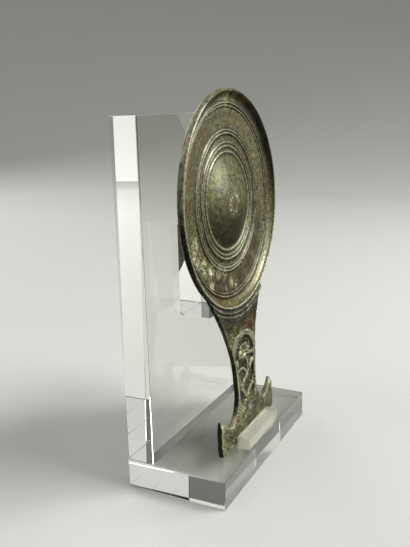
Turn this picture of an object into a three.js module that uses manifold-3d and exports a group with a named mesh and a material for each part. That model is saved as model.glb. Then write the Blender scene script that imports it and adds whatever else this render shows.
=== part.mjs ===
// Cast bronze hand mirror with a crescent foot, standing upright on its clear stand.
// Millimetres, +Z up, origin at the middle of the base's underside, mirror facing -Y.
import * as THREE from 'three';
import { mergeVertices } from 'three/addons/utils/BufferGeometryUtils.js';
import Module from 'manifold-3d';

const wasm = await Module();
wasm.setup();

// Clear stand: one slab thickness for the base and the upright, open glue lines between blocks
const SHEET = 20;
const STAND_WIDTH = 153;
const BASE_DEPTH = 74;
const UPRIGHT_HEIGHT = 231;
const UPRIGHT_SETBACK = 0.5;
const JOINT_GAP = 0.3;

// Block between the upright and the disc's back, and the small bar in front of the foot
const BLOCK_WIDTH = 54;
const BLOCK_X = -5.8;
const SPACER_BOTTOM = 114;
const SPACER_TOP = 178.4;
const BAR_SECTION = 9;
const BAR_MARGIN = 1.5;
const BAR_BACK = BAR_MARGIN + BAR_SECTION - BASE_DEPTH / 2;

// Mirror's place on the base: its middle, the front edge of its sole, its lean to the spacer
const MIRROR_X = -3.2;
const FOOT_CLEARANCE = 2.9;
const SOLE_FRONT = BAR_BACK + FOOT_CLEARANCE;
const LEAN = THREE.MathUtils.degToRad(2.6);
const SPACER_REACH = 16.65;
const SPACER_FRONT = SOLE_FRONT + SPACER_REACH;

// Disc: depths run backward from the foot's front face, radii from the disc's middle
const RIM_RADIUS = 75.7;
const HANDLE_LENGTH = 95.3;
const DISC_HEIGHT = HANDLE_LENGTH + RIM_RADIUS;
const DISC_SEGMENTS = 76;
const LIP_RADIUS = RIM_RADIUS - 1.2;
const LIP_DEPTH = 1.25;
const RIM_BACK = 6.2;
const COVE_START = RIM_RADIUS - 7.2;
const COVE_END = RIM_RADIUS - 2.1;
const COVE_DEPTH = 5.2;
const BACK_RADIUS = RIM_RADIUS - 1.3;
const BACK_BULGE = 3;
const BACK_POWER = 2.6;
const BOSS_RADIUS = 32.4;
const BOSS_TOP = 1.7;
const BOSS_BASE = 7.2;

// Turned rings between the boss and the cove: [radius, depth] of each crest and groove
const RINGS = [
  [33.6, 6.4], [35, 7.4], [36.5, 7.3], [37.6, 6.4], [38.8, 6.8], [40.1, 6.2], [41.2, 7],
  [43, 7.5], [44.9, 7], [46.2, 6], [47.2, 6.4], [48.3, 5.8], [49.6, 6.5], [56.5, 6.1],
  [63.2, 5.6], [64.6, 4.8], [65.8, 5.2], [67.1, 4.6],
];

// Handle: a flat bar flaring up to the disc and down to a crescent foot, [half width, height]
const HANDLE_THICK = 3.8;
const NECK_RADIUS = RIM_RADIUS - 0.8;
const FOOT_SIDE = [[46, 0], [46.9, 7.5], [46.7, 14], [46, 20], [44.9, 24.6]];
const FOOT_TIP = [[43.7, 25], [41.4, 22.6], [37.4, 18.9], [33, 16.2], [28.6, 15.1]];
const LEFT_SIDE = [
  [28.6, 15.1], [22.6, 19.2], [18, 25.6], [16.4, 32.5], [16.9, 44], [19.2, 59.5], [24, 71.8],
  [29.8, 83.6],
];
const RIGHT_SIDE = [
  [28.6, 15.1], [22.4, 19.2], [17.6, 25.6], [15.9, 32.5], [16.2, 44], [18, 59.5], [20.8, 71.8],
  [24, 82.8],
];

// Where each flare meets the disc: [degrees from straight down, distance outside the rim]
const LEFT_FLARE = [[26.6, 8.3], [35.3, 3.2], [43.9, -0.2]];
const RIGHT_FLARE = [[20, 7.7], [24.9, 3.2], [29.6, 0.3]];

// Slope of the horns' front at the tips: [depth, height]
const HORN_INNER = 30;
const HORN_SLOPE = [[-1, 19.2], [0, 21], [2.5, 26.2], [2.5, 30], [-1, 30]];

// Sunk field under the arch, and the lower ground between the arch and the neck rings
const PANEL_DEPTH = 1.5;
const PANEL_BOTTOM = 23;
const PANEL_HALF = 13.4;
const PANEL_SHOULDER = 44;
const PANEL_ARCH = { x: -1.8, half: 16.2, foot: 60, top: 73.8 };
const OUTER_ARCH = { x: -3.5, half: 22, foot: 63, top: 78.5 };
const GROUND_FOOT = 67;
const GROUND_DEPTH = 0.5;

// Grooves about the disc that leave two rings standing on the neck: [inner, outer, depth]
const NECK_GROOVES = [
  [RIM_RADIUS - 5.7, RIM_RADIUS + 1.3, 1], [RIM_RADIUS + 2.7, RIM_RADIUS + 4.5, 0.5],
];
const NECK_RING = RIM_RADIUS + 5.9;
const NECK_SPREAD = 0.95;
const NECK_ENDS = [-0.58, 0.4];

// Raised tendrils on the field, each a run of [x, height] points, and the bud under the arch
const TENDRIL_WIDTH = 2.5;
const TENDRIL_FRONT = 0.15;
const TENDRILS = [
  [[15, 54], [10, 51], [5.6, 46.6], [0.8, 42], [-5, 38.6], [-10, 34.6], [-15, 31]],
  [[-17, 58], [-12.2, 50.2], [-10.2, 43.5], [-8.2, 36.5], [-5.6, 30.5], [-2.6, 26], [1, 21.5]],
  [[15, 40.5], [9.4, 34.4], [3, 29.4], [-2.6, 26], [-9, 21.5]],
  [[-11.6, 49.4], [-4.5, 50.6], [0.6, 54], [2, 59]],
];
const BUD_PLACE = [-0.4, PANEL_DEPTH, 62.8];
const BUD_HALF = [8.6, 1.4, 6.6];

const bronze = { color: 0x5e5a41, roughness: 0.5, metalness: 0.65 };
const acrylic = { color: 0xe3e9e8, roughness: 0.06, metalness: 0 };

// Closed solid for joining and cutting
function solid(geometry) {
  geometry.deleteAttribute('normal');
  geometry.deleteAttribute('uv');
  const welded = mergeVertices(geometry, 1e-4);
  return new wasm.Manifold(new wasm.Mesh({
    numProp: 3,
    vertProperties: new Float32Array(welded.attributes.position.array),
    triVerts: new Uint32Array(welded.index.array),
  }));
}

// Named mesh from a joined solid, with a material of its own
function meshOf(name, body, look) {
  const raw = body.getMesh();
  const geometry = new THREE.BufferGeometry();
  const positions = new THREE.BufferAttribute(new Float32Array(raw.vertProperties), 3);
  geometry.setAttribute('position', positions);
  geometry.setIndex(new THREE.BufferAttribute(new Uint32Array(raw.triVerts), 1));
  geometry.computeVertexNormals();
  const mesh = new THREE.Mesh(geometry, new THREE.MeshStandardMaterial(look));
  mesh.name = name;
  return mesh;
}

// Clear block between two opposite corners
function block(name, low, high) {
  const size = high.map((value, i) => value - low[i]);
  const geometry = new THREE.BoxGeometry(...size);
  geometry.translate(...low.map((value, i) => value + size[i] / 2));
  return meshOf(name, solid(geometry), acrylic);
}

// Upright plate of a front outline, from one depth to another
function plate(outline, front, back) {
  const shape = new THREE.Shape(outline.map(([x, z]) => new THREE.Vector2(x, z)));
  const geometry = new THREE.ExtrudeGeometry(shape, { depth: back - front, bevelEnabled: false });
  geometry.rotateX(Math.PI / 2);
  geometry.translate(0, back, 0);
  return solid(geometry);
}

// Smooth run of points through a few stations
function smooth(stations, steps) {
  const curve = new THREE.SplineCurve(stations.map(([x, z]) => new THREE.Vector2(x, z)));
  return curve.getPoints(steps).map((point) => [point.x, point.y]);
}

// Upper part of an ellipse, from right to left, above a given height
function archOver(arch, height, steps) {
  const end = Math.acos((height - arch.foot) / (arch.top - arch.foot));
  return Array.from({ length: steps + 1 }, (_, i) => {
    const turn = end - 2 * end * i / steps;
    const rise = (arch.top - arch.foot) * Math.cos(turn);
    return [arch.x + arch.half * Math.sin(turn), arch.foot + rise];
  });
}

// Arc about the disc's middle, angles from straight down, positive to the right
function discArc(radius, from, to, steps) {
  return Array.from({ length: steps + 1 }, (_, i) => {
    const angle = from + (to - from) * i / steps;
    return [radius * Math.sin(angle), DISC_HEIGHT - radius * Math.cos(angle)];
  });
}

// Disc: domed boss, turned rings, hollow cove and lip in front, bulging face behind
function disc() {
  const profile = [];
  const rise = BOSS_BASE - BOSS_TOP;
  const sphere = (BOSS_RADIUS ** 2 + rise ** 2) / (2 * rise);
  for (let i = 0; i <= 6; i += 1) {
    const r = BOSS_RADIUS * i / 6;
    profile.push([r, BOSS_TOP + sphere - Math.sqrt(sphere ** 2 - r ** 2)]);
  }
  profile.push(...RINGS);
  for (let i = 0; i <= 5; i += 1) {
    const turn = Math.PI / 2 * i / 5;
    const climb = COVE_DEPTH - LIP_DEPTH - 0.3;
    profile.push([
      COVE_START + (COVE_END - COVE_START) * Math.sin(turn),
      COVE_DEPTH - climb * (1 - Math.cos(turn)),
    ]);
  }
  profile.push([LIP_RADIUS, LIP_DEPTH]);
  profile.push([RIM_RADIUS - 0.3, LIP_DEPTH + 0.8]);
  profile.push([RIM_RADIUS, RIM_BACK - 0.9]);
  for (let i = 8; i >= 0; i -= 1) {
    const r = BACK_RADIUS * i / 8;
    profile.push([r, RIM_BACK + BACK_BULGE * (1 - (i / 8) ** BACK_POWER)]);
  }
  const points = profile.map(([r, depth]) => new THREE.Vector2(r, depth));
  const geometry = new THREE.LatheGeometry(points, DISC_SEGMENTS);
  geometry.translate(0, 0, DISC_HEIGHT);
  return solid(geometry);
}

// One side of the handle from the sole to the disc, then along the disc to the middle
function handleSide(side, flare) {
  const stations = flare.map(([degrees, outside]) => {
    const angle = THREE.MathUtils.degToRad(degrees);
    return discArc(RIM_RADIUS + outside, angle, angle, 1)[0];
  });
  const [endX, endZ] = stations[stations.length - 1];
  const reach = Math.atan2(endX, DISC_HEIGHT - endZ);
  return [
    ...smooth(FOOT_SIDE, 6),
    ...smooth(FOOT_TIP, 8),
    ...smooth([...side, ...stations], 26).slice(1),
    ...discArc(NECK_RADIUS, reach, 0, 12),
  ];
}

// Handle and crescent foot as one flat plate, its top edge following the disc
function handlePlate() {
  const left = handleSide(LEFT_SIDE, LEFT_FLARE).map(([x, z]) => [-x, z]).reverse();
  return plate([...handleSide(RIGHT_SIDE, RIGHT_FLARE), ...left.slice(1)], 0, HANDLE_THICK);
}

// Wedge in front of one horn tip, on the right or left side
function hornWedge(side) {
  const section = new THREE.Shape(HORN_SLOPE.map(([y, z]) => new THREE.Vector2(y, z)));
  const geometry = new THREE.ExtrudeGeometry(section, { depth: 20, bevelEnabled: false });
  const turn = new THREE.Matrix4().set(0, 0, 1, 0, 1, 0, 0, 0, 0, 1, 0, 0, 0, 0, 0, 1);
  geometry.applyMatrix4(turn);
  geometry.translate(side > 0 ? HORN_INNER : -HORN_INNER - 20, 0, 0);
  return solid(geometry);
}

// Sunk field: straight sides at the waist, widening to a round top
function panel() {
  const sides = [
    [PANEL_HALF - 3, PANEL_BOTTOM], [PANEL_HALF, PANEL_BOTTOM + 5], [PANEL_HALF, PANEL_SHOULDER],
  ];
  const left = sides.map(([x, z]) => [-x, z]).reverse();
  const round = archOver(PANEL_ARCH, PANEL_ARCH.foot, 16);
  return plate([...sides, ...round, ...left], -1, PANEL_DEPTH);
}

// Lower ground above the arch, across the full width and up to the neck rings
function neckGround() {
  const outline = [
    [RIM_RADIUS, GROUND_FOOT],
    ...discArc(NECK_RING, NECK_SPREAD, -NECK_SPREAD, 28),
    [-RIM_RADIUS, GROUND_FOOT],
    ...archOver(OUTER_ARCH, GROUND_FOOT, 18).reverse(),
  ];
  return plate(outline, -1, GROUND_DEPTH);
}

// Flat ends beside the neck rings, where the flare thins out to the rim
function neckEnd(angle) {
  const far = Math.sign(angle) * NECK_SPREAD;
  const arc = [
    ...discArc(NECK_RING + 2, Math.min(angle, far), Math.max(angle, far), 6),
    ...discArc(NECK_GROOVES[0][0], Math.max(angle, far), Math.min(angle, far), 6),
  ];
  return plate(arc, -1, NECK_GROOVES[0][2]);
}

// Groove about the disc, cut into the front of the neck
function neckGroove([inner, outer, depth]) {
  const arc = [
    ...discArc(outer, -NECK_SPREAD, NECK_SPREAD, 24),
    ...discArc(inner, NECK_SPREAD, -NECK_SPREAD, 24),
  ];
  return plate(arc, -1, depth);
}

// Raised line of constant width along a smooth run
function tendril(run) {
  const curve = new THREE.SplineCurve(run.map(([x, z]) => new THREE.Vector2(x, z)));
  const steps = run.length * 2;
  const half = TENDRIL_WIDTH / 2;
  const left = [];
  const right = [];
  for (let i = 0; i <= steps; i += 1) {
    const at = curve.getPoint(i / steps);
    const along = curve.getTangent(i / steps);
    left.push([at.x - along.y * half, at.y + along.x * half]);
    right.push([at.x + along.y * half, at.y - along.x * half]);
  }
  return plate([...right, ...left.reverse()], TENDRIL_FRONT, PANEL_DEPTH + 0.5);
}

// Bud under the arch
function bud() {
  const geometry = new THREE.SphereGeometry(1, 18, 10);
  geometry.scale(...BUD_HALF);
  geometry.translate(...BUD_PLACE);
  return solid(geometry);
}

// Mirror as one casting, leaning back on the spacer with its sole on the base
function mirror() {
  let handle = handlePlate();
  const cuts = [hornWedge(1), hornWedge(-1), panel(), neckGround()];
  cuts.push(...NECK_GROOVES.map(neckGroove), ...NECK_ENDS.map(neckEnd));
  for (const cut of cuts) {
    handle = handle.subtract(cut);
  }
  for (const raised of [...TENDRILS.map(tendril), bud()]) {
    handle = handle.add(raised);
  }
  const mesh = meshOf('mirror', handle.add(disc()), bronze);
  mesh.geometry.rotateX(-LEAN);
  const rest = SHEET + JOINT_GAP + HANDLE_THICK * Math.sin(LEAN);
  mesh.geometry.translate(MIRROR_X, SOLE_FRONT, rest);
  mesh.geometry.computeVertexNormals();
  return mesh;
}

// Base, upright, spacer and retaining bar of the clear stand
function stand() {
  const side = STAND_WIDTH / 2;
  const back = BASE_DEPTH / 2 - UPRIGHT_SETBACK;
  const front = back - SHEET;
  const foot = SHEET + JOINT_GAP;
  const left = BLOCK_X - BLOCK_WIDTH / 2;
  const right = BLOCK_X + BLOCK_WIDTH / 2;
  return [
    block('stand_base', [-side, -BASE_DEPTH / 2, 0], [side, BASE_DEPTH / 2, SHEET]),
    block('stand_upright', [-side, front, foot], [side, back, foot + UPRIGHT_HEIGHT]),
    block('stand_spacer', [left, SPACER_FRONT, SPACER_BOTTOM],
      [right, front - JOINT_GAP, SPACER_TOP]),
    block('stand_front_bar', [left, BAR_BACK - BAR_SECTION, foot],
      [right, BAR_BACK, foot + BAR_SECTION]),
  ];
}

const group = new THREE.Group();
group.add(mirror(), ...stand());

export default group;
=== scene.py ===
"""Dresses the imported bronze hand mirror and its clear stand, and sets the studio round them."""

import math

import bpy
import numpy as np
from bpy.props import FloatProperty, FloatVectorProperty, IntProperty, PointerProperty
from mathutils import Matrix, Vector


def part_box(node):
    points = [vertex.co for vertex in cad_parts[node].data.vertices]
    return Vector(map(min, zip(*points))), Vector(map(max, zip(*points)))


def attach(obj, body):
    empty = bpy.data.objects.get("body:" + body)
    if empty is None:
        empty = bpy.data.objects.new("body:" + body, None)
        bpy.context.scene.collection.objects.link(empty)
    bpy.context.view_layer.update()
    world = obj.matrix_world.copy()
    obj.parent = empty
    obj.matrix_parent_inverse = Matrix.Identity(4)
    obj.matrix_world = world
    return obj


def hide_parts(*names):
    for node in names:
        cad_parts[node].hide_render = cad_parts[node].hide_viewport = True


bl_info = {
    "name": "Bronze hand mirror on a clear stand",
    "version": (1, 0, 0),
    "blender": (4, 5, 0),
    "location": "View3D > Sidebar > Mirror",
    "description": "Builds the casting's fine surface, the clear blocks' finish and the studio",
    "category": "Object",
}

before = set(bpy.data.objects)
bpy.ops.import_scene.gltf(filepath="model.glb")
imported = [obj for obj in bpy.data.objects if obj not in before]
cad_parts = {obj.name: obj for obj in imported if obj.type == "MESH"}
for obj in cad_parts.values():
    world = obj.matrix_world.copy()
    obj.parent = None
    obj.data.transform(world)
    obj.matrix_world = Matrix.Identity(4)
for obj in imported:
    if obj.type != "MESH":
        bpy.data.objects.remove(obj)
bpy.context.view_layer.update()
MIRROR_LOW, MIRROR_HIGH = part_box("mirror")
MM = 0.001

# The mirror is built upright in millimetres: x across, y its depth behind the foot's front, and z up from
# the sole.

# Disc's section: the boss, then each ring's crest, foot or groove as [radius, depth]
BOSS_TOP = 1.7
BOSS_FOOT = 7.5
BOSS_RADIUS = 31.4
RINGS = (
    (32.4, 7.6), (33.9, 6.8), (35.1, 7.7), (36.3, 7.7), (37.5, 6.8), (38.5, 7.4), (39.1, 7.4),
    (40.2, 6.7), (41.3, 7.7), (43.0, 7.9), (45.0, 7.6), (46.2, 6.7), (47.3, 7.2), (48.4, 6.6),
    (49.6, 7.4), (56.5, 7.0), (63.2, 6.4), (64.4, 5.8), (65.4, 6.1), (66.4, 5.2), (67.5, 5.8),
)

# Crests that wear bright as [radius, width], and the soiled grooves between paired rings as radii
CRESTS = ((33.9, 0.7), (37.5, 0.6), (40.2, 0.7), (46.2, 0.6), (48.4, 0.7), (66.4, 0.6))
GROOVES = (38.8, 47.3, 65.4)
GROOVE_WIDTH = 0.8

# Cove and rim: places are insets from the rim's radius
COVE_START = 7.9
COVE_END = 2.1
COVE_DEPTH = 5.8
LIP_INSET = 1.1
LIP_DEPTH = 1.25
COVE_TOP = LIP_DEPTH + 0.35
RIM_BACK = 6.2
BACK_INSET = 1.3
RIM_SECTION = (
    (1.75, 1.42), (1.45, LIP_DEPTH), (LIP_INSET, LIP_DEPTH), (0.7, 1.45), (0.35, 1.95), (0.1, 2.8),
    (0.0, 3.8), (0.05, 4.7), (0.2, 5.3), (0.7, 5.9), (BACK_INSET, RIM_BACK),
)
RIM_WEAR = 0.06

# Back of the disc, and the least metal left between it and the hollow of the front
BACK_BULGE = 3.0
BACK_POWER = 2.6
LEAST_WALL = 0.4

# Outline of handle and foot: half widths at heights above the sole, then flares as [degrees from the
# disc's bottom, distance outside the rim]
FOOT_SIDE = ((46.0, 0.0), (46.9, 7.5), (46.7, 14.0), (46.0, 20.0), (44.9, 24.6))
FOOT_TIP = ((43.7, 25.0), (41.4, 22.6), (37.4, 18.9), (33.0, 16.2), (28.6, 15.1))
LEFT_SIDE = (
    (28.6, 15.1), (22.6, 19.2), (18.0, 25.6), (16.4, 32.5), (16.9, 44.0), (19.2, 59.5), (24.0, 71.8),
    (29.8, 83.6),
)
RIGHT_SIDE = (
    (28.6, 15.1), (22.4, 19.2), (17.6, 25.6), (15.9, 32.5), (16.2, 44.0), (18.0, 59.5), (20.8, 71.8),
    (24.0, 82.8),
)
LEFT_FLARE = ((26.6, 8.3), (35.3, 3.2), (43.9, -0.2))
RIGHT_FLARE = ((20.0, 7.7), (24.9, 3.2), (29.6, 0.3))
NECK_INSET = 0.9

# Slab that the outline is cut from: its reach, the front's grid, and the coarser one across the flat back.
# The outline is carried through it from one depth to the other, and its edge is worn by this much.
SLAB_HALF = 57
SLAB_LOW = -2
SLAB_HIGH = 122
FRONT_GRID = 0.5
BACK_GRID = 3
CUT_DEPTHS = (-4.0, 8.0)
EDGE_WEAR = 0.13

# Neck's ridges as [distance outside the rim, depth], and their worn tops as [distance, width]
NECK_RINGS = (
    (-3.0, 2.5), (0.5, 2.3), (1.1, 1.5), (1.7, 0.4), (2.4, 0.35), (3.0, 1.1), (4.2, 1.2), (4.9, 0.45),
    (5.6, 0.5), (6.3, 0.95), (8.0, 0.65),
)
NECK_CRESTS = ((2.1, 0.6), (5.3, 0.7))

# Arched panel: [middle, half width, height where the arch springs, height of its top], and the sunk field
OUTER_ARCH = (-3.5, 22.0, 62.0, 78.5)
INNER_ARCH = (-1.9, 16.4, 60.0, 74.2)
PANEL_TOP = 78
GROUND_DEPTH = 0.6
FIELD_HALF = 13.6
FIELD_BOTTOM = 24.0
FIELD_DEPTH = 1.7

# Low relief in the field. Tendrils and leaf edges are [half width, height, run], and the bud's lobes are
# [across, up, half width, half height, height].
LINES = (
    (1.9, 1.35, ((15.5, 53.5), (10, 50.2), (5, 46.5), (0, 42.3), (-4.5, 39.5), (-9, 36))),
    (2.1, 1.3, (
        (-17.5, 55), (-15.5, 49.5), (-12, 43.5), (-8.8, 38), (-6, 33.5), (-2.5, 28.5), (0.5, 24), (4, 19.5),
    )),
    (1.7, 1.35, ((13.5, 38.5), (10.5, 34.8), (5, 31), (0, 27.2), (-4, 24.5), (-9, 21))),
    (1.6, 1.2, ((10.5, 34.8), (14, 31.5), (15.6, 27))),
    (0.9, 0.8, ((-12, 49.6), (-8, 50.6), (-4, 50), (0.4, 46.6))),
    (1.0, 1.0, ((0.8, 57.5), (3.0, 54), (3.9, 50.5), (3.4, 47))),
    (1.4, 1.25, ((-9.5, 60), (-5, 59.2), (1, 59.6), (6, 59.4), (10, 57.8), (13, 57.5))),
)
LUMPS = ((-7.4, 61.9, 3.6, 3.0, 1.5), (3.8, 62.3, 4.6, 3.4, 1.55), (-1.2, 64.6, 7.6, 3.8, 1.1))

# The horns slope back from this height up, by this share of the climb
HORN_HEIGHT = 21.0
HORN_SLOPE = 0.48
HORN_END = 45.0

# Eaten ring near the boss's top as [across, up, radius], and its width
APEX = (-2.0, 169.3, 6.0)
APEX_WIDTH = 2.0

# Corrosion: soft round patches as [across, up, radius]
CRUST = (
    (-56, 150, 9), (-51, 139, 9), (-44, 131, 10), (-34, 125, 9), (-26, 120, 8), (-14, 111, 9), (-2, 109, 8),
    (8, 110, 7),
)
GREEN_SPOTS = (
    (2, 240, 8), (-7, 238, 6), (12, 239, 6), (-61, 183, 5), (-12, 21, 5), (-11, 19, 4), (-6, 88, 5),
    (-7, 67, 6), (-10, 100, 6),
)
BROWN_SPOTS = (
    (3, 82, 9), (12, 84, 9), (16, 80, 5), (-4, 33, 6), (8, 28, 5), (45, 162, 9), (47, 148, 12), (40, 134, 12),
    (28, 120, 12), (12, 112, 14), (-8, 111, 13), (-26, 117, 12), (-20, 242, 8), (-6, 246, 6), (13, 245, 7),
    (27, 240, 7), (40, 222, 8), (-40, 190, 9), (30, 200, 9), (27, 17, 6), (19, 13, 5), (-33, 12, 5),
)
PALE_SPOTS = (
    (-54, 150, 7), (-57, 143, 7), (-52, 139, 8), (-44, 134, 7), (-33, 129, 7), (-22, 125, 6), (-13, 123, 5),
    (-4, 114, 5), (3, 111, 4), (-35, 119, 5), (-11, 21, 5), (-6, 15, 4), (2, 19, 4), (-2, 60, 7),
    (1, 240, 6), (37, 23, 4),
)

# Radius beyond which the cove's brown is full and its lower right is polished, with a painted highlight
COVE_INNER = 70

# Height over its surroundings, in millimetres, that counts as full relief
FULL_RELIEF = 0.14

# Patina's noises as [size in millimetres, detail]. Real grain is finer than 0.7 mm, which is as fine as
# the render shows.
NOISES = {"blotch": (20, 3), "cloud": (11, 7), "mottle": (3.5, 6), "speck": (1.3, 4), "grain": (0.7, 3)}
NOISE_ROUGHNESS = 0.66
GRAIN_HEIGHT = 0.09
SPECK_HEIGHT = 0.2

# Acrylic: its refraction, and the size and height of its slow waves in millimetres
ACRYLIC_IOR = 1.49
WAVE_SIZE = 30
WAVE_HEIGHT = 0.08

# Angle in degrees past which an edge of the casting is drawn sharp
SHARP_ANGLE = 38

# A join that leaves fewer faces than this has failed
LEAST_FACES = 100

# Layers of colour over the dark patina, from the bottom up: colour, mask that it keeps to, what it is
# spread by, the values there where it starts and is full, and the most that it covers
LAYERS = (
    ("olive", None, "mottle", 0.37, 0.64, 1.0),
    ("earth", None, "blotch", 0.43, 0.66, 0.75),
    ("hollow_and_shade", None, "grain", 0.48, 0.32, 0.7),
    ("wear_and_highlight", None, "speck", 0.56, 0.68, 0.5),
    ("hollow_and_shade", "weathered", "cloud", 0.54, 0.34, 0.75),
    ("salts", "weathered", "cloud", 0.48, 0.66, 0.6),
    ("ochre", "brown", "mottle", 0.28, 0.58, 0.85),
    ("verdigris", "green", "mottle", 0.35, 0.62, 0.75),
    ("wear_and_highlight", "proud", "speck", 0.3, 0.58, 0.75),
    ("hollow_and_shade", None, "relief", -0.12, -0.8, 0.95),
    # The worn layer also lays painted highlights: the cove's lower right and the pale parts of the disc's
    # side
    ("wear_and_highlight", "wear_and_highlight", "speck", 0.28, 0.6, 0.85),
    # The soil layer also lays painted shade: the disc's side, the cove's upper right and the boss's lower
    # half
    ("hollow_and_shade", "soil_and_shade", "speck", 0.9, 0.55, 0.97),
    # Painted shade on the sideways flanks of handle and foot
    ("hollow_and_shade", "flank_shade", "speck", 0.85, 0.6, 0.92),
    ("bloom", "pale", "mottle", 0.5, 0.57, 0.8),
    ("bloom", "pale", "speck", 0.49, 0.56, 0.95),
)
MASKS = ("relief", "wear_and_highlight", "soil_and_shade", "green", "brown", "pale", "weathered", "flank_shade")

# Lamps in metres: direction from the point aimed at, distance, width and height, and setting
AIM = (0.0, 0.0, 0.13)
LAMPS = (
    ("key", (0.20, -0.60, 0.775), 2.2, (1.3, 1.0), "key"),
    ("side", (0.62, -0.73, 0.28), 1.6, (0.42, 0.65), "side"),
    ("low_card", (0.862, -0.500, 0.03), 1.6, (0.35, 0.3), "card"),
    ("high_card", (0.783, -0.470, 0.407), 1.6, (0.7, 0.65), "card"),
    ("back", (-0.35, 0.45, 0.82), 1.2, (0.6, 0.6), "fill"),
    ("rear", (0.45, 0.80, 0.40), 1.8, (0.9, 0.8), "rear"),
)

# The photograph's view: lens's place in metres, turn in degrees, focal length and sensor in millimetres
EYE = (-0.4263, -0.2061, 0.2585)
EYE_AZIMUTH = -62.83
EYE_ELEVATION = 14.3
EYE_ROLL = -1.5
EYE_LENS = 44.51
EYE_SENSOR = 36.0

# Floor and cloth in metres: both lie just under the stand's underside, the cloth just over the floor
FLOOR_DROP = 0.0003
FLOOR_LEVEL = 1.5
FLOOR_BEND = 2.2
FLOOR_WALL = 1.0
CLOTH_DROP = 0.00015
CLOTH_INNER = 0.15
CLOTH_OUTER = 2.4


def linear(code):
    """Linear RGBA of an sRGB hex colour: a channel c is c / 12.92 up to 0.04045, and above it
    ((c + 0.055) / 1.055) ^ 2.4."""
    channels = np.array([int(code[i : i + 2], 16) / 255 for i in (1, 3, 5)])
    curved = ((channels + 0.055) / 1.055) ** 2.4
    return (*np.where(channels <= 0.04045, channels / 12.92, curved).tolist(), 1.0)


def colour_property(label, words, code):
    """A colour setting with an sRGB hex default."""
    return FloatVectorProperty(
        name=label, description=words, subtype="COLOR", size=4, min=0, max=1, default=linear(code)
    )


class HandMirrorSizes(bpy.types.PropertyGroup):
    rim_radius: FloatProperty(
        name="Rim radius",
        description="Outer radius of the disc",
        default=(MIRROR_HIGH.x - MIRROR_LOW.x) / 2,
        unit="LENGTH",
    )
    handle_length: FloatProperty(
        name="Handle length",
        description="From the sole to the lowest point of the rim",
        default=0.0953,
        unit="LENGTH",
    )
    thickness: FloatProperty(
        name="Handle thickness", description="Front to back through the handle", default=0.0038, unit="LENGTH"
    )
    lean: FloatProperty(
        name="Lean", description="How far the mirror leans back", default=math.radians(2.6), subtype="ANGLE"
    )
    pit_depth: FloatProperty(
        name="Pit depth", description="Depth of the corrosion pits", default=0.00032, unit="LENGTH"
    )
    around: IntProperty(name="Steps around", description="Grid steps round the disc", default=432, min=48)


class HandMirrorFinish(bpy.types.PropertyGroup):
    patina: colour_property("Patina", "Smooth dark patina on the fields", "#32311b")
    olive: colour_property("Olive", "Lighter olive patina", "#5f5e34")
    salts: colour_property("Salts", "Pale green film on the weathered handle", "#86876a")
    earth: colour_property("Earth", "Brown earth left in the patina", "#463715")
    # Worn bronze is also the colour of the painted highlights
    wear_and_highlight: colour_property("Worn bronze", "Metal that shows on crests and edges", "#a5a48a")
    # The hollows' colour is also that of the painted shade
    hollow_and_shade: colour_property("Hollows", "Dark soil in the grooves", "#0f0d06")
    verdigris: colour_property("Verdigris", "Green copper salts", "#6f7748")
    ochre: colour_property("Ochre", "Red-brown patches of oxide", "#5e4028")
    bloom: colour_property("Bloom", "Pale mineral crust", "#c6c49c")


class HandMirrorStand(bpy.types.PropertyGroup):
    tint: colour_property("Tint", "Colour of the clear acrylic", "#fafcf6")
    sawn: colour_property("Sawn", "Milky cream of the sawn front bar", "#f5f3e4")
    edge: FloatProperty(
        name="Edge", description="Width of the polished edge breaks", default=0.0004, unit="LENGTH"
    )


class HandMirrorStudio(bpy.types.PropertyGroup):
    floor: colour_property("Floor", "Pale floor and backdrop", "#a9a9a5")
    key: FloatProperty(name="Key light", description="Brightness of the large front light", default=19.0)
    side: FloatProperty(
        name="Side light", description="Brightness of the low light on the right", default=14.0
    )
    card: FloatProperty(
        name="White cards", description="Brightness of the cards that the clear edges mirror", default=0.55
    )
    fill: FloatProperty(
        name="Back light", description="Brightness of the light above and behind", default=3.5
    )
    rear: FloatProperty(
        name="Rear light", description="Brightness of the light behind the stand", default=5.5
    )
    room: FloatProperty(name="Room light", description="Strength of the even light", default=0.3)


def smooth_run(points, steps):
    """Points on a Catmull-Rom run: each span is the cubic through its two ends whose slope at an end is
    half the difference of that end's neighbours."""
    p = np.asarray(points, float)
    padded = np.vstack([p[:1], p, p[-1:]])
    t = np.linspace(0, len(p) - 1, steps + 1)
    k = np.minimum(t.astype(int), len(p) - 2)
    f = (t - k)[:, None]
    p0, p1, p2, p3 = padded[k], padded[k + 1], padded[k + 2], padded[k + 3]
    v0, v1 = (p2 - p0) / 2, (p3 - p1) / 2
    return (2 * p1 - 2 * p2 + v0 + v1) * f**3 + (3 * p2 - 3 * p1 - 2 * v0 - v1) * f**2 + v0 * f + p1


def step(value, low, high):
    """Smooth step: with t = (value - low) / (high - low) kept to 0..1, 3 t^2 - 2 t^3. It falls where low is
    the greater."""
    t = np.clip((value - low) / (high - low), 0, 1)
    return t * t * (3 - 2 * t)


def bell(value, middle, width):
    """Bell curve: e to the power of minus the square of (value - middle) / width."""
    return np.exp(-(((value - middle) / width) ** 2))


def ripples(coordinates, size, seed, waves=28):
    """Even noise of about unit spread: a sum of plane sine waves of random direction and phase, with
    wavelengths of 0.7 to 1.4 times the size."""
    rng = np.random.default_rng(seed)
    directions = rng.normal(size=(waves, len(coordinates)))
    directions /= np.linalg.norm(directions, axis=1)[:, None]
    lengths = size * rng.uniform(0.7, 1.4, waves)
    phases = rng.uniform(0, 2 * np.pi, waves)
    total = np.zeros(np.broadcast(*coordinates).shape)
    for direction, length, phase in zip(directions, lengths, phases):
        along = sum(c * d for c, d in zip(coordinates, direction))
        total += np.sin(2 * np.pi * along / length + phase)
    return total * math.sqrt(2 / waves)


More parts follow.
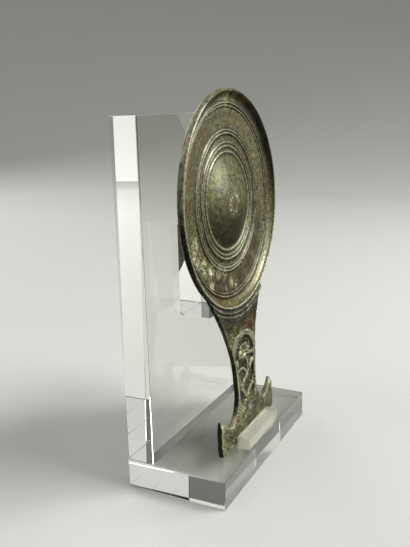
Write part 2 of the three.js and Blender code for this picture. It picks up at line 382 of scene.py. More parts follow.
def distance_to(run, x, z):
    """Distance from each (x, z) to a run of points: the least over its spans of the distance to the nearest
    point of the span, which is its start plus the clamped share of the way along it."""
    run = np.asarray(run, float)
    best = np.full(np.shape(x), np.inf)
    for (ax, az), (bx, bz) in zip(run[:-1], run[1:]):
        dx, dz = bx - ax, bz - az
        share = np.clip(((x - ax) * dx + (z - az) * dz) / (dx * dx + dz * dz), 0, 1)
        best = np.minimum(best, np.hypot(x - ax - share * dx, z - az - share * dz))
    return best


def patches(x, z, spots):
    """Strength of soft round patches: the most over the spots of a smooth step of 1 - distance / radius,
    full at 0.8."""
    best = np.zeros(np.shape(x))
    for px, pz, radius in spots:
        best = np.maximum(best, step(1 - np.hypot(x - px, z - pz) / radius, 0, 0.8))
    return best


def over_arch(arch, x, z):
    """How far outside an arch a point is, in millimetres: above its springing, the distance from its middle
    over the half axes, less one, times the half width; below, the distance across beyond the half width."""
    centre, half, foot, top = arch
    above = (np.hypot((x - centre) / half, (z - foot) / (top - foot)) - 1) * half
    beside = np.abs(x - centre) - half
    return np.where(z > foot, above, beside)


def rim_and_centre(sizes):
    """Rim's radius, and the height of the disc's centre above the sole, in millimetres."""
    rim = sizes.rim_radius / MM
    return rim, sizes.handle_length / MM + rim


def back_depth(r, rim):
    """Depth of the disc's back: that of the rim's back plus the bulge times 1 - share ^ power, where the
    share is the radius over the one where the back starts."""
    return RIM_BACK + BACK_BULGE * (1 - (r / (rim - BACK_INSET)) ** BACK_POWER)


def closed_mesh(name, rows, ends="cap"):
    """A mesh from a grid of points [row, step round, xyz] that closes on itself round each row. The first
    and last rows are closed by a flat face, or with ends="pole" they are single points with a fan."""
    count, around, _ = rows.shape
    index = np.arange(count * around).reshape(count, around)
    points = rows.reshape(-1, 3)
    if ends == "pole":
        points = np.vstack([rows[0, :1], rows[1:-1].reshape(-1, 3), rows[-1, :1]])
        index = np.full((count, around), 0)
        index[1:-1] = 1 + np.arange((count - 2) * around).reshape(count - 2, around)
        index[-1] = len(points) - 1
    following = np.roll(index, -1, axis=1)
    low, high = (1, -2) if ends == "pole" else (0, -1)
    body = slice(low, high)
    after = slice(low + 1, count + high + 1)
    quads = np.stack([index[body], following[body], following[after], index[after]], axis=-1)
    faces = quads.reshape(-1, 4).tolist()
    if ends == "pole":
        faces += np.stack([index[0], following[1], index[1]], axis=-1).tolist()
        faces += np.stack([index[-1], index[-2], following[-2]], axis=-1).tolist()
    else:
        faces += [index[0, ::-1].tolist(), index[-1].tolist()]
    mesh = bpy.data.meshes.new(name)
    mesh.from_pydata(points.tolist(), [], faces)
    mesh.update()
    return mesh


def turned_mesh(name, section, steps, middle=False):
    """An open surface turned about the upright axis from a section of [radius, height]: x = r cos a,
    y = r sin a. With middle, a flat face fills its first ring."""
    section = np.asarray(section)
    around = np.linspace(0, 2 * np.pi, steps, endpoint=False)
    r, a = np.meshgrid(section[:, 0], around, indexing="ij")
    z = np.repeat(section[:, 1:], steps, axis=1)
    points = np.stack([r * np.cos(a), r * np.sin(a), z], axis=-1).reshape(-1, 3)
    index = np.arange(len(points)).reshape(len(section), steps)
    following = np.roll(index, -1, axis=1)
    quads = np.stack([index[:-1], index[1:], following[1:], following[:-1]], axis=-1)
    faces = quads.reshape(-1, 4).tolist()
    if middle:
        faces.insert(0, index[0].tolist())
    mesh = bpy.data.meshes.new(name)
    mesh.from_pydata(points.tolist(), [], faces)
    mesh.update()
    return mesh


def coordinates(mesh):
    """Vertex positions as rows."""
    points = np.empty(len(mesh.vertices) * 3)
    mesh.vertices.foreach_get("co", points)
    return points.reshape(-1, 3)


def outward(mesh):
    """Turns every face of a closed mesh outward when its signed volume, the sum of a . (b x c) / 6, is
    negative."""
    mesh.calc_loop_triangles()
    corners = np.empty(len(mesh.loop_triangles) * 3, int)
    mesh.loop_triangles.foreach_get("vertices", corners)
    a, b, c = coordinates(mesh)[corners.reshape(-1, 3)].transpose(1, 0, 2)
    if np.einsum("ij,ij->", a, np.cross(b, c)) < 0:
        mesh.flip_normals()
    return mesh


def combine(first, second, operation):
    """One closed mesh from two: their union or what they share."""
    base = bpy.data.objects.new("first", first)
    tool = bpy.data.objects.new("second", second)
    for thing in (base, tool):
        bpy.context.scene.collection.objects.link(thing)
    join = base.modifiers.new("join", "BOOLEAN")
    join.object = tool
    join.operation = operation
    join.solver = "MANIFOLD"
    bpy.context.view_layer.update()
    depsgraph = bpy.context.evaluated_depsgraph_get()
    result = bpy.data.meshes.new_from_object(base.evaluated_get(depsgraph))
    for thing in (base, tool):
        bpy.data.objects.remove(thing)
    if len(result.polygons) < LEAST_FACES:
        raise RuntimeError(f"the {operation.lower()} left {len(result.polygons)} faces")
    return result


def disc_profile(rim):
    """Radius and depth along the disc's section, from the middle of the front round the rim to the middle
    of the back: a sphere cap for the boss, the rings' stations joined by cosine steps, a quarter ellipse
    for the cove, the rim, and the back by its own formula."""
    rise = BOSS_FOOT - BOSS_TOP
    ball = (BOSS_RADIUS**2 + rise**2) / (2 * rise)
    r = np.linspace(0, BOSS_RADIUS, 30)
    section = [np.stack([r, BOSS_TOP + ball - np.sqrt(ball**2 - r**2)], 1)]
    stations = np.array([section[0][-1], *RINGS])
    for (r0, d0), (r1, d1) in zip(stations[:-1], stations[1:]):
        spans = 3 if r1 - r0 < 2.5 else int((r1 - r0) / 0.8)
        share = np.arange(1, spans + 1) / spans
        depth = d0 + (d1 - d0) * (1 - np.cos(np.pi * share)) / 2
        section.append(np.stack([r0 + (r1 - r0) * share, depth], 1))
    turn = np.linspace(0, np.pi / 2, 12)[1:]
    start, end = rim - COVE_START, rim - COVE_END
    depth = COVE_DEPTH - (COVE_DEPTH - COVE_TOP) * (1 - np.cos(turn))
    section.append(np.stack([start + (end - start) * np.sin(turn), depth], 1))
    section.append(np.array([(rim - inset, depth) for inset, depth in RIM_SECTION]))
    r = (rim - BACK_INSET) * np.linspace(1, 0, 18)[1:] ** 0.9
    section.append(np.stack([r, back_depth(r, rim)], 1))
    return np.vstack(section)


def pitted(x, z, seed):
    """Corrosion in units of pit depth: where even noise of 2.6 or 5.5 mm passes a level it sinks, mostly in
    places that noise of 24 mm picks. Real pits are finer too, but those wouldn't show."""
    places = step(ripples((x, z), 24, seed), -0.3, 1.4)
    fine = np.clip(ripples((x, z), 2.6, seed + 1) - 1.1, 0, 1.5)
    wide = np.clip(ripples((x, z), 5.5, seed + 2) - 1.0, 0, 1.5)
    return (0.8 * fine + 0.7 * wide) * (0.25 + 0.75 * places)


def crusted(x, z):
    """Depth that the mineral crust adds, less than none where it stands proud: noise of 7, 3.2, 1.7 and
    1.1 mm, the finer ones only where the coarsest is high."""
    lumps = ripples((x, z), 7, 31)
    fine = 0.13 * ripples((x, z), 3.2, 32) + 0.13 * ripples((x, z), 1.7, 34) + 0.1 * ripples((x, z), 1.1, 35)
    return -0.1 * lumps + fine * step(lumps, -0.8, 0.6)


def disc_mesh(sizes):
    """Disc as a grid of section points against angle: x = r sin a, z = centre - r cos a, y = depth plus
    pits, crust and a slow warp on the front, with the rim worn inward by noise along its run."""
    rim, centre = rim_and_centre(sizes)
    pit = sizes.pit_depth / MM
    section = disc_profile(rim)
    angle = np.linspace(0, 2 * np.pi, sizes.around, endpoint=False)
    r, a = np.meshgrid(section[:, 0], angle, indexing="ij")
    depth = np.repeat(section[:, 1:2], len(angle), axis=1)
    along_rim = (75 * np.sin(a), 75 * np.cos(a), depth)
    wear = 0.16 * np.clip(ripples(along_rim, 5, 11), 0, 2) + 0.08 * np.clip(ripples(along_rim, 2.2, 12), 0, 2)
    r = r - (wear + RIM_WEAR) * step(r, rim - 1.6, rim - 0.2)
    x, z = r * np.sin(a), -r * np.cos(a)
    lip = np.abs(section - (rim - LIP_INSET, LIP_DEPTH)).sum(axis=1).argmin()
    front = (np.arange(len(section)) <= lip)[:, None]
    pits = pitted(x, z, 21) * pit * step(r, 0.5, 6) * (0.35 + 0.65 * step(r, 26, 34))
    slow = 0.10 * ripples((x, z), 32, 24) * step(r, 20, 40) + 0.025 * ripples((x, z), 7, 25) * step(r, 20, 36)
    crust = patches(x, z + centre, CRUST) * crusted(x, z)
    apex = np.hypot(x - APEX[0], z + centre - APEX[1])
    eaten = 0.3 * bell(apex, APEX[2], APEX_WIDTH) * np.clip(0.3 + 0.5 * ripples((x, z), 2.2, 33), 0, 1)
    front_change = pits + (slow + crust) * step(rim - r, 0.5, 6) + eaten
    back_change = -0.3 * pits * step(rim - r, 1.5, 6)
    depth = depth + np.where(front, front_change, back_change)
    depth = np.where(front, np.minimum(depth, back_depth(r, rim) - LEAST_WALL), depth)
    rows = np.stack([x, depth, z + centre], axis=-1)
    return outward(closed_mesh("disc", rows, ends="pole"))


def handle_outline(sizes):
    """Closed outline of handle and foot: smooth runs up each side, and an arc just inside the rim."""
    rim, centre = rim_and_centre(sizes)
    sides = []
    for side, flare in ((RIGHT_SIDE, RIGHT_FLARE), (LEFT_SIDE, LEFT_FLARE)):
        degrees, out = np.array(flare).T
        turn = np.radians(degrees)
        ends = np.stack([(rim + out) * np.sin(turn), centre - (rim + out) * np.cos(turn)], 1)
        upper = smooth_run(np.vstack([side, ends]), 90)[1:]
        arc = np.linspace(math.atan2(ends[-1, 0], centre - ends[-1, 1]), 0, 24)
        neck = rim - NECK_INSET
        inner = np.stack([neck * np.sin(arc), centre - neck * np.cos(arc)], 1)
        sides.append(np.vstack([smooth_run(FOOT_SIDE, 20), smooth_run(FOOT_TIP, 20), upper, inner]))
    right, left = sides
    return np.vstack([right, left[::-1][1:] * (-1, 1)])


def relief_height(x, z):
    """Height of the panel's relief over its field: the most of each line's height times 1 - (distance over
    half width) ^ 2, and of each lobe's height times the square root of the same for an ellipse."""
    raised = np.zeros(np.shape(x))
    for half, height, run in LINES:
        near = distance_to(smooth_run(run, 24), x, z)
        raised = np.maximum(raised, height * np.clip(1 - (near / (half + 0.4)) ** 2, 0, 1))
    for bx, bz, across, up, height in LUMPS:
        ball = np.clip(1 - ((x - bx) / across) ** 2 - ((z - bz) / up) ** 2, 0, 1)
        raised = np.maximum(raised, height * np.sqrt(ball))
    return raised


def handle_depth(sizes, x, z):
    """Depth of the handle's front: level ground, the neck's ridges by distance from the rim, wandering by
    noise of 10 and 3.8 mm, the arch's band dished between its edges, the sunk field with its relief, the
    horns' slope, unevenness of 8, 3.4 and 1.7 mm, pits, and edges worn down."""
    rim, centre = rim_and_centre(sizes)
    away = np.hypot(x, z - centre) - rim
    outer = over_arch(OUTER_ARCH, x, z)
    inner = over_arch(INNER_ARCH, x, z)
    ground = GROUND_DEPTH * step(outer, -0.3, 0.5) * step(z, 62, 67)
    wander = 0.24 * ripples((x, z), 10, 46) + 0.15 * ripples((x, z), 3.8, 47)
    rings = np.interp(away + wander * step(away, 0.3, 1.5), *np.array(NECK_RINGS).T)
    ground = np.where(away < 8, rings + (ground - rings) * step(away, 6.2, 8), ground)
    across_band = np.clip((inner + outer) / np.maximum(inner - outer, 0.5), -1, 1)
    on_band = (outer < 0) & (inner > 0) & (z > 58)
    ground = ground + np.where(on_band, 0.35 * across_band**2, 0)
    narrow = np.minimum(FIELD_HALF + 0.16 * np.clip(z - 44, 0, 20), FIELD_HALF - 2 * step(30 - z, 0, 7))
    beside = np.where(z < INNER_ARCH[2], np.abs(x + 0.3) - narrow, inner)
    field = step(-beside, -0.45, 0.75) * step(z, FIELD_BOTTOM - 4, FIELD_BOTTOM + 6)
    depth = ground + (FIELD_DEPTH - relief_height(x, z) - ground) * field
    horn = HORN_SLOPE * np.clip(z - HORN_HEIGHT, 0, 9) * step(np.abs(x), 26, 30)
    depth = depth + horn * (z < HORN_END)
    depth += 0.08 * ripples((x, z), 8, 41) + 0.06 * ripples((x, z), 3.4, 42)
    depth += 0.045 * ripples((x, z), 1.7, 43)
    depth += pitted(x, z, 45) * sizes.pit_depth / MM
    outline = handle_outline(sizes)
    edge = distance_to(np.vstack([outline, outline[:1]]), x, z)
    return depth + 0.55 * np.clip(1 - edge / 0.9, 0, 1) ** 2 * (away > 3)


def roughened(outline, amount, seed):
    """The closed outline worn inward, across its run, by clipped noise of 3 and 7 mm."""
    along = np.roll(outline, -1, axis=0) - np.roll(outline, 1, axis=0)
    along /= np.linalg.norm(along, axis=1)[:, None]
    inward = np.stack([-along[:, 1], along[:, 0]], axis=1)
    x, z = outline.T
    wear = np.clip(0.7 * ripples((x, z), 7, seed) + 0.6 * ripples((x, z), 3, seed + 1), 0, 2)
    return outline + inward * (amount * wear)[:, None]


def handle_mesh(sizes):
    """Handle and foot: a slab whose front is the depth function on a grid, crossed with the outline carried
    straight from front to back."""
    z = np.linspace(SLAB_LOW, SLAB_HIGH, round((SLAB_HIGH - SLAB_LOW) / FRONT_GRID) + 1)
    x = np.linspace(-SLAB_HALF, SLAB_HALF, round(2 * SLAB_HALF / FRONT_GRID) + 1)
    across, up = np.meshgrid(x, z)
    front = np.stack([across, handle_depth(sizes, across, up), up], axis=-1)
    x = np.linspace(SLAB_HALF, -SLAB_HALF, round(2 * SLAB_HALF / BACK_GRID) + 1)
    across, up = np.meshgrid(x, z)
    thick = sizes.thickness / MM + 0.05 * ripples((across, up), 11, 51) - 0.02
    back = np.stack([across, thick, up], axis=-1)
    slab = outward(closed_mesh("slab", np.concatenate([front, back], axis=1)))
    outline = roughened(handle_outline(sizes), EDGE_WEAR, 55)
    rows = np.stack([np.insert(outline, 1, depth, axis=1) for depth in CUT_DEPTHS])
    prism = outward(closed_mesh("outline", rows))
    return combine(slab, prism, "INTERSECT")


def convexity(mesh, rounds):
    """How far each vertex stands out of its surroundings, in mesh units: its offset, along its normal, from
    the positions averaged over neighbours that many times."""
    edges = np.empty(len(mesh.edges) * 2, int)
    mesh.edges.foreach_get("vertices", edges)
    a, b = edges.reshape(-1, 2).T
    points = coordinates(mesh)
    total = len(points)
    neighbours = np.bincount(a, minlength=total) + np.bincount(b, minlength=total)
    even = points
    for _ in range(rounds):
        sums = [np.bincount(a, even[b, k], total) + np.bincount(b, even[a, k], total) for k in range(3)]
        even = np.stack(sums, axis=1) / neighbours[:, None]
    normals = np.empty(total * 3)
    mesh.vertex_normals.foreach_get("vector", normals)
    return ((points - even) * normals.reshape(-1, 3)).sum(axis=1)


def disc_masks(x, y, z, rim, centre, shaded):
    """Wear and soil of the disc from 0 to 1, and where its side is; the wear also holds painted highlights
    and the soil painted shade. Crests and the lip are worn, and the cove's lower right is polished and
    painted pale as a highlight; grooves are soiled; the cove's upper right and the boss's lower half are
    painted in shade. The side is half bare at the upper left and along the left of its back edge, and
    soiled elsewhere: that soil is painted shade, the pale upper left partly wear and partly painted light,
    and the pale line along the back edge a painted highlight."""
    r = np.hypot(x, z - centre)
    uneven = 0.6 + 0.3 * ripples((x, z), 9, 62)
    crest = sum(bell(r, at, width) for at, width in CRESTS)
    # Painted shade: the lip's wear is dimmed in the shaded upper right
    lip = 0.45 * (np.abs(r - rim + 1.2) < 0.6) * (1 - 0.8 * shaded)
    # Painted highlight: the cove's lower right, where the key light's reflection falls, is worn pale
    from_bottom = np.degrees(np.arctan2(x, centre - z))
    polished = bell(from_bottom, 50, 27) * step(r, COVE_INNER, COVE_INNER + 1.5)
    wear = np.maximum(uneven * (0.75 * crest + lip), 0.8 * polished)
    groove = sum(bell(r, at, GROOVE_WIDTH) for at in GROOVES)
    cove = step(r, 67.4, 68.6) * step(rim - r, 0.2, 1.8)
    # Painted shade in the cove's upper right
    soil_and_shade = np.maximum(0.45 * groove, 0.78 * cove * shaded)
    # Painted shade: the boss darkens towards its lower half, which faces away from the light
    soil_and_shade = np.where(r < BOSS_RADIUS, 0.8 * step(centre + 8 - z, 0, 26), soil_and_shade)
    side = r > rim - 0.6
    # The side is painted shade, with its upper left partly worn and partly painted lit
    patchy = 0.38 + 0.3 * step(ripples((x / 2, y, z / 2), 3, 61), -0.9, 0.9)
    # The pale line along the left of the back edge is a painted highlight
    bare_and_lit = np.maximum(patchy * step(z - x, 232, 262), 0.75 * step(y, 5.0, 5.6) * (x < 0))
    return np.where(side, bare_and_lit, wear), np.where(side, 1 - bare_and_lit, soil_and_shade), side


def handle_masks(x, y, z, away, level, front):
    """Wear and soil of handle and foot from 0 to 1, and how near the neck is. The arch's band, the horns'
    tips and the neck's crests are worn; the field's ground and the neck are soiled."""
    tips = step(z, 12, 24) * step(np.abs(x), 27, 34)
    inside = step(over_arch(OUTER_ARCH, x, z), 1.0, -0.5)
    outside = step(over_arch(INNER_ARCH, x, z), -0.6, 0.3)
    band = inside * outside * step(z, 52, 64)
    wear = np.clip(0.35 * band + 0.25 * tips, 0, 1) * (y < 2.6) * np.where(front, 1, 0.4)
    crest = sum(bell(away, at, width) for at, width in NECK_CRESTS)
    rubbed = step(ripples((x, z), 6, 63) + 0.7 * ripples((x, z), 2.4, 65), -0.6, 1.6)
    wear = np.where(front, np.maximum(wear, 0.65 * crest * rubbed), wear)
    uneven = np.clip(0.58 + 0.45 * ripples((x, z), 2.6, 64), 0.05, 0.95)
    ground = uneven * step(level, 1.0, 1.7) * (z < PANEL_TOP)
    neck = step(away, 19, 6)
    return wear, np.maximum(ground, 0.85 * neck * (1 - 0.8 * crest)), neck


def paint_masks(mesh, sizes):
    """Point attributes that the bronze reads: relief from -1, deep, to 1, proud, and from 0 to 1 worn metal,
    which also holds painted highlights, soil, which also holds painted shade, green, brown and pale patches,
    and how weathered the patina is, full on the handle and in the crust."""
    x, y, z = coordinates(mesh).T
    rim, centre = rim_and_centre(sizes)
    r = np.hypot(x, z - centre)
    on_disc = r < rim + 0.3
    behind = back_depth(np.minimum(r, rim - BACK_INSET), rim) - LEAST_WALL / 2
    front = y < np.where(on_disc, behind, sizes.thickness / MM - 0.5)
    # Upper right of the disc, where the cove, lip and relief are painted in shade
    shaded = step(z - centre, -15, 35) * step(x, -60, -20)
    level = handle_depth(sizes, x, z)
    disc_wear_and_highlight, disc_soil_and_shade, side = disc_masks(x, y, z, rim, centre, shaded)
    handle_wear, handle_soil, neck = handle_masks(x, y, z, r - rim, level, front)
    relief = convexity(mesh, 6) / FULL_RELIEF

    green = patches(x, z, GREEN_SPOTS)
    brown = patches(x, z, BROWN_SPOTS) * np.where(on_disc & (r < COVE_INNER), 0.75, 1)
    apex = 0.42 * bell(np.hypot(x - APEX[0], z - APEX[1]), APEX[2], 1.7) * on_disc
    pale = np.maximum(patches(x, z, PALE_SPOTS), apex)
    pale = pale * (0.4 + 0.6 * step(relief, -0.3, 0.4)) * np.where(on_disc, 1, 0.7)

    disc_wear_and_highlight = disc_wear_and_highlight * np.where(front | side, 1, 0.4)
    disc_soil_and_shade = np.maximum(disc_soil_and_shade, 0.9 * brown * (z < centre))
    clean = np.maximum(np.maximum(green, pale), brown * (r > COVE_INNER))
    in_cove = (step(r, 67.4, 68.6) > 0.5) & (r < rim - 1.9)
    # Painted shade: the relief is toned down in the cove's shaded upper right
    disc_relief = np.where(in_cove, np.maximum(relief, -0.1), relief) * (0.6 - 0.5 * shaded * (r > 69))
    handle_relief = 0.9 * np.where(relief > 0, relief * (1 - 0.8 * neck) * (y < level + 0.5), relief)

    for name, values in (
        ("relief", np.where(on_disc, disc_relief, handle_relief)),
        ("wear_and_highlight", np.where(on_disc, disc_wear_and_highlight, handle_wear)),
        ("soil_and_shade", np.where(on_disc, disc_soil_and_shade * (1 - clean), handle_soil)),
        ("green", green * front),
        ("brown", brown * front),
        ("pale", pale * front),
        ("weathered", np.where(on_disc, patches(x, z, CRUST), 1)),
    ):
        layer = mesh.attributes.new(name, "FLOAT", "POINT")
        layer.data.foreach_set("value", np.clip(values, -1, 1).astype(np.float32))


def paint_flank_shade(mesh, sizes):
    """Face attribute of painted shade on the sideways edges of handle and foot, held by faces because those
    run from front to back with no point between. It leaves out those that look up, and the right horn."""
    normals = np.empty(len(mesh.polygons) * 3)
    mesh.polygon_normals.foreach_get("vector", normals)
    centres = np.empty(len(mesh.polygons) * 3)
    mesh.polygons.foreach_get("center", centres)
    x, y, z = centres.reshape(-1, 3).T
    _, facing, upward = normals.reshape(-1, 3).T
    rim, centre = rim_and_centre(sizes)
    sideways = (np.abs(facing) < 0.45) & (np.hypot(x, z - centre) > rim + 1) & (y > 1.4)
    flank_shade = sideways * (1 - step(upward, 0.3, 0.8)) * step(28 - x, 0, 4)
    layer = mesh.attributes.new("flank_shade", "FLOAT", "FACE")
    layer.data.foreach_set("value", flank_shade.astype(np.float32))


def place_mirror(mesh, sizes):
    """Turns the leaning casting into its place: y' = y cos L + z sin L, z' = z cos L - y sin L, then its
    sole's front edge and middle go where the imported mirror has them."""
    lean = sizes.lean
    middle = (MIRROR_LOW.x + MIRROR_HIGH.x) / 2
    rest = MIRROR_LOW.z + sizes.thickness * math.sin(lean)
    turn = Matrix.Rotation(-lean, 4, "X")
    mesh.transform(Matrix.Translation((middle, MIRROR_LOW.y, rest)) @ turn @ Matrix.Scale(MM, 4))
    mesh.update()


def add_node(tree, kind, values=None, links=None, **settings):
    """Adds a node, sets its properties and socket values, and links its inputs."""
    made = tree.nodes.new(kind)
    for name, value in settings.items():
        setattr(made, name, value)
    for socket, value in (values or {}).items():
        made.inputs[socket].default_value = value
    for socket, source in (links or {}).items():
        tree.links.new(source, made.inputs[socket])
    return made


def new_material(name):
    """An empty node material with its shader linked to the output."""
    material = bpy.data.materials.new(name)
    material.use_nodes = True
    tree = material.node_tree
    tree.nodes.clear()
    shader = add_node(tree, "ShaderNodeBsdfPrincipled")
    add_node(tree, "ShaderNodeOutputMaterial", links={"Surface": shader.outputs["BSDF"]})
    return material, tree, shader


def bronze_material(finish):
    """Cast bronze with a burial patina. It gives the eye a dark, half glossy olive and brown, mottled at
    3.5 and 20 mm and grainy at 1.3 and 0.7 mm, with soil in the hollows and paler metal on worn crests. Its
    masks also lay painted shade on the disc's side, the flanks, the cove's upper right and the boss's lower
    half, and painted highlights in the cove's lower right and on the disc's side. The patina is mineral, so
    the surface is only partly metallic, more where it is worn."""
    material, tree, shader = new_material("patinated_cast_bronze")
    place = add_node(tree, "ShaderNodeTexCoord").outputs["Object"]
    sources = {}
    for name, (size, detail) in NOISES.items():
        noise = add_node(
            tree,
            "ShaderNodeTexNoise",
            {"Scale": 1 / (size * MM), "Detail": detail, "Roughness": NOISE_ROUGHNESS},
            {"Vector": place},
        )
        sources[name] = noise.outputs["Fac"]
    for name in MASKS:
        sources[name] = add_node(tree, "ShaderNodeAttribute", attribute_name=name).outputs["Fac"]
    proud = add_node(
        tree,
        "ShaderNodeMapRange",
        {"From Min": 0.2, "From Max": 1.1},
        {"Value": sources["relief"]},
        interpolation_type="SMOOTHSTEP",
    )
    sources["proud"] = proud.outputs["Result"]

    below = None
    for tint, mask, spread_by, low, high, most in LAYERS:
        spread = add_node(
            tree,
            "ShaderNodeMapRange",
            {"From Min": low, "From Max": high, "To Max": most},
            {"Value": sources[spread_by]},
            interpolation_type="SMOOTHSTEP",
        )
        amount = spread.outputs["Result"]
        if mask:
            kept = add_node(tree, "ShaderNodeMath", links={0: sources[mask], 1: amount}, operation="MULTIPLY")
            amount = kept.outputs[0]
        colours = {6: finish.patina, 7: getattr(finish, tint)}
        layer = add_node(tree, "ShaderNodeMix", colours, {0: amount}, data_type="RGBA")
        if below is not None:
            tree.links.new(below.outputs[2], layer.inputs[6])
        below = layer
    tree.links.new(below.outputs[2], shader.inputs["Base Color"])
    shader.inputs["Specular IOR Level"].default_value = 0.3
    shader.inputs["Specular Tint"].default_value = (0.97, 1.0, 0.88, 1.0)

    metal = add_node(tree, "ShaderNodeMapRange", {"To Min": 0.22, "To Max": 0.36}, {"Value": sources["wear_and_highlight"]})
    tree.links.new(metal.outputs["Result"], shader.inputs["Metallic"])
    rough = add_node(
        tree,
        "ShaderNodeMapRange",
        {"From Min": 0.3, "From Max": 0.7, "To Min": 0.22, "To Max": 0.4},
        {"Value": sources["speck"]},
    )
    dull = add_node(
        tree,
        "ShaderNodeMath",
        {1: 0.25},
        {0: sources["soil_and_shade"], 2: rough.outputs["Result"]},
        operation="MULTIPLY_ADD",
    )
    tree.links.new(dull.outputs[0], shader.inputs["Roughness"])
    fine = add_node(
        tree, "ShaderNodeBump", {"Strength": 0.5, "Distance": GRAIN_HEIGHT * MM}, {"Height": sources["grain"]}
    )
    coarse = add_node(
        tree,
        "ShaderNodeBump",
        {"Strength": 0.5, "Distance": SPECK_HEIGHT * MM},
        {"Height": sources["speck"], "Normal": fine.outputs["Normal"]},
    )
    tree.links.new(coarse.outputs["Normal"], shader.inputs["Normal"])
    return material


def acrylic_material(name, tint, roughness, clearness):
    """Cast acrylic. Polished, it is clear and mirrors sharply, with faces that wave slowly at 30 mm; sawn,
    it is a milky cream that scatters what lies behind."""
    material, tree, shader = new_material(name)
    shader.inputs["Base Color"].default_value = tint
    shader.inputs["Transmission Weight"].default_value = clearness
    shader.inputs["IOR"].default_value = ACRYLIC_IOR
    shader.inputs["Roughness"].default_value = roughness
    place = add_node(tree, "ShaderNodeTexCoord").outputs["Object"]
    waves = add_node(
        tree, "ShaderNodeTexNoise", {"Scale": 1 / (WAVE_SIZE * MM), "Detail": 1.0}, {"Vector": place}
    )
    surface = add_node(
        tree,
        "ShaderNodeBump",
        {"Strength": 0.25, "Distance": WAVE_HEIGHT * MM},
        {"Height": waves.outputs["Fac"]},
    )
    tree.links.new(surface.outputs["Normal"], shader.inputs["Normal"])
    return material


def paper_material(colour):
    """Matt pale paper. It gives the eye an even floor with soft shadows and no gloss."""
    material, _, shader = new_material("pale_paper")
    shader.inputs["Base Color"].default_value = colour
    shader.inputs["Roughness"].default_value = 0.75
    return material


def felt_material():
    """Black felt. It gives back almost no light, so what mirrors it looks dark and clear."""
    material, _, shader = new_material("black_felt")
    shader.inputs["Base Color"].default_value = (0.01, 0.01, 0.01, 1.0)
    shader.inputs["Roughness"].default_value = 1.0
    shader.inputs["Specular IOR Level"].default_value = 0.0
    return material


class HANDMIRROR_OT_casting(bpy.types.Operator):
    """Builds the mirror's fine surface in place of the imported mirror"""

    bl_idname = "hand_mirror.casting"
    bl_label = "Build the bronze casting"

    def execute(self, context):
        sizes = context.scene.hand_mirror_sizes
        mesh = combine(disc_mesh(sizes), handle_mesh(sizes), "UNION")
        paint_masks(mesh, sizes)
        paint_flank_shade(mesh, sizes)
        place_mirror(mesh, sizes)
        mesh.name = "mirror_casting"
        mesh.polygons.foreach_set("use_smooth", np.ones(len(mesh.polygons), bool))
        mesh.set_sharp_from_angle(angle=math.radians(SHARP_ANGLE))
        mesh.materials.clear()
        mesh.materials.append(bronze_material(context.scene.hand_mirror_finish))
        piece = bpy.data.objects.new("mirror_casting", mesh)
        context.scene.collection.objects.link(piece)
        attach(piece, "root")
        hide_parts("mirror")
        return {"FINISHED"}


class HANDMIRROR_OT_stand(bpy.types.Operator):
    """Gives the stand's clear blocks their broken edges and polished acrylic"""

    bl_idname = "hand_mirror.stand"
    bl_label = "Finish the clear stand"

    def execute(self, context):
        stand = context.scene.hand_mirror_stand
        polished = acrylic_material("polished_cast_acrylic", stand.tint, 0.0, 1.0)
        sawn = acrylic_material("sawn_cast_acrylic", stand.sawn, 0.22, 0.86)
        for name, material in (
            ("stand_base", polished),
            ("stand_upright", polished),
            ("stand_spacer", polished),
            ("stand_front_bar", sawn),
        ):
            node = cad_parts.get(name)
            if node is None:
                raise RuntimeError(f"the packed model has no {name}")
            weld = node.modifiers.new("weld", "WELD")
            weld.merge_threshold = 0.00001
            bevel = node.modifiers.new("broken_edges", "BEVEL")
            bevel.width = stand.edge
            bevel.segments = 2
            bevel.limit_method = "ANGLE"
            node.data.materials.clear()
            node.data.materials.append(material)
        return {"FINISHED"}


class HANDMIRROR_OT_stage(bpy.types.Operator):
    """Adds the pale floor, the cloth for reflections, the studio light and the camera"""

    bl_idname = "hand_mirror.stage"
    bl_label = "Set the studio"

    def execute(self, context):
        scene = context.scene
        studio = scene.hand_mirror_studio
        floor = bpy.data.objects.new("floor", backdrop_mesh())
        floor.data.materials.append(paper_material(studio.floor))
        scene.collection.objects.link(floor)
        # Only reflections see the cloth. Without it the polished fields mirror the pale floor and turn hazy.
        cloth = bpy.data.objects.new("dark_cloth", cloth_mesh())
        cloth.data.materials.append(felt_material())
        scene.collection.objects.link(cloth)
        cloth.visible_camera = False
        cloth.visible_diffuse = False
        cloth.visible_transmission = False
        cloth.visible_shadow = False
        world = bpy.data.worlds.new("studio")
        world.use_nodes = True
        background = world.node_tree.nodes["Background"]
        background.inputs["Color"].default_value = (1.0, 1.0, 1.0, 1.0)
        background.inputs["Strength"].default_value = studio.room
        scene.world = world
        for name, direction, distance, size, setting in LAMPS:
            scene.collection.objects.link(lamp(name, direction, distance, size, getattr(studio, setting)))
        camera = photo_camera()
        scene.collection.objects.link(camera)
        scene.camera = camera
        scene.view_settings.view_transform = "Standard"
        return {"FINISHED"}


def pose(right, up, back, where):
    """A placing matrix from three unit directions and a point."""
    matrix = Matrix.Identity(4)
    for column, values in enumerate((right, up, back, where)):
        for row in range(3):
            matrix[row][column] = float(values[row])
    return matrix


def lamp(name, direction, distance, size, brightness):
    """A rectangular lamp that faces the point aimed at. Its power is pi times brightness times its area, so
    its own face looks that bright at any size."""
    data = bpy.data.lights.new(name, "AREA")
    data.shape = "RECTANGLE"
    data.size, data.size_y = size
    data.energy = brightness * math.pi * size[0] * size[1]
    light = bpy.data.objects.new(name, data)
    back = np.array(direction) / np.linalg.norm(direction)
    right = np.cross((0, 0, 1), back)
    right /= np.linalg.norm(right)
    light.matrix_world = pose(right, np.cross(back, right), back, np.array(AIM) + back * distance)
    return light


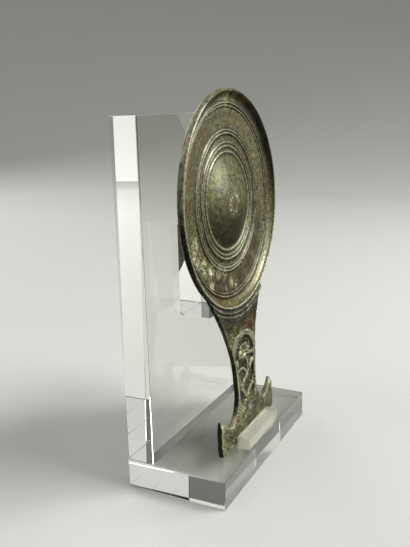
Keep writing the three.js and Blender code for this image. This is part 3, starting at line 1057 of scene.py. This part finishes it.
def view_axes(azimuth, elevation, roll):
    """Right, up and back of a camera at an azimuth from -Y and an elevation, rolled about its own line of
    sight, all in radians."""
    level = math.cos(elevation)
    back = np.array([math.sin(azimuth) * level, -math.cos(azimuth) * level, math.sin(elevation)])
    right = np.cross((0, 0, 1), back)
    right /= np.linalg.norm(right)
    up = np.cross(back, right)
    turned = math.cos(roll) * right + math.sin(roll) * up
    return turned, np.cross(back, turned), back


def photo_camera():
    """The camera at the photograph's place and angle."""
    eye = bpy.data.cameras.new("photo_view")
    eye.sensor_fit = "VERTICAL"
    eye.sensor_height = EYE_SENSOR
    eye.lens = EYE_LENS
    eye.clip_start = 0.01
    camera = bpy.data.objects.new("photo_view", eye)
    turn = view_axes(math.radians(EYE_AZIMUTH), math.radians(EYE_ELEVATION), math.radians(EYE_ROLL))
    camera.matrix_world = pose(*turn, EYE)
    return camera


def backdrop_mesh():
    """Round floor that curves up into a wall: a level run, a quarter circle and a straight rise."""
    turn = np.linspace(0, np.pi / 2, 16)
    curve = np.stack([FLOOR_LEVEL + FLOOR_BEND * np.sin(turn), FLOOR_BEND - FLOOR_BEND * np.cos(turn)], 1)
    wall = (FLOOR_LEVEL + FLOOR_BEND, FLOOR_BEND + FLOOR_WALL)
    section = np.vstack([(0.4, 0.0), (1.4, 0.0), curve, wall]) - (0, FLOOR_DROP)
    mesh = turned_mesh("floor", section, 96, middle=True)
    mesh.polygons.foreach_set("use_smooth", np.ones(len(mesh.polygons), bool))
    return mesh


def cloth_mesh():
    """Flat ring round the stand."""
    return turned_mesh("dark_cloth", ((CLOTH_INNER, -CLOTH_DROP), (CLOTH_OUTER, -CLOTH_DROP)), 48)


class HANDMIRROR_PT_panel(bpy.types.Panel):
    bl_label = "Hand mirror"
    bl_space_type = "VIEW_3D"
    bl_region_type = "UI"
    bl_category = "Mirror"

    def draw(self, context):
        layout = self.layout
        for group, operator in GROUPS:
            box = layout.box()
            settings = getattr(context.scene, group)
            for name in settings.__annotations__:
                box.prop(settings, name)
            box.operator(operator)


GROUPS = (
    ("hand_mirror_sizes", "hand_mirror.casting"),
    ("hand_mirror_finish", "hand_mirror.casting"),
    ("hand_mirror_stand", "hand_mirror.stand"),
    ("hand_mirror_studio", "hand_mirror.stage"),
)
SETTINGS = {
    "hand_mirror_sizes": HandMirrorSizes,
    "hand_mirror_finish": HandMirrorFinish,
    "hand_mirror_stand": HandMirrorStand,
    "hand_mirror_studio": HandMirrorStudio,
}
CLASSES = (
    *SETTINGS.values(),
    HANDMIRROR_OT_casting,
    HANDMIRROR_OT_stand,
    HANDMIRROR_OT_stage,
    HANDMIRROR_PT_panel,
)


def register():
    for cls in CLASSES:
        bpy.utils.register_class(cls)
    for name, group in SETTINGS.items():
        setattr(bpy.types.Scene, name, PointerProperty(type=group))


def unregister():
    for name in SETTINGS:
        delattr(bpy.types.Scene, name)
    for cls in reversed(CLASSES):
        bpy.utils.unregister_class(cls)


def main():
    register()
    bpy.ops.hand_mirror.casting()
    bpy.ops.hand_mirror.stand()
    bpy.ops.hand_mirror.stage()


if __name__ == "__main__":
    main()
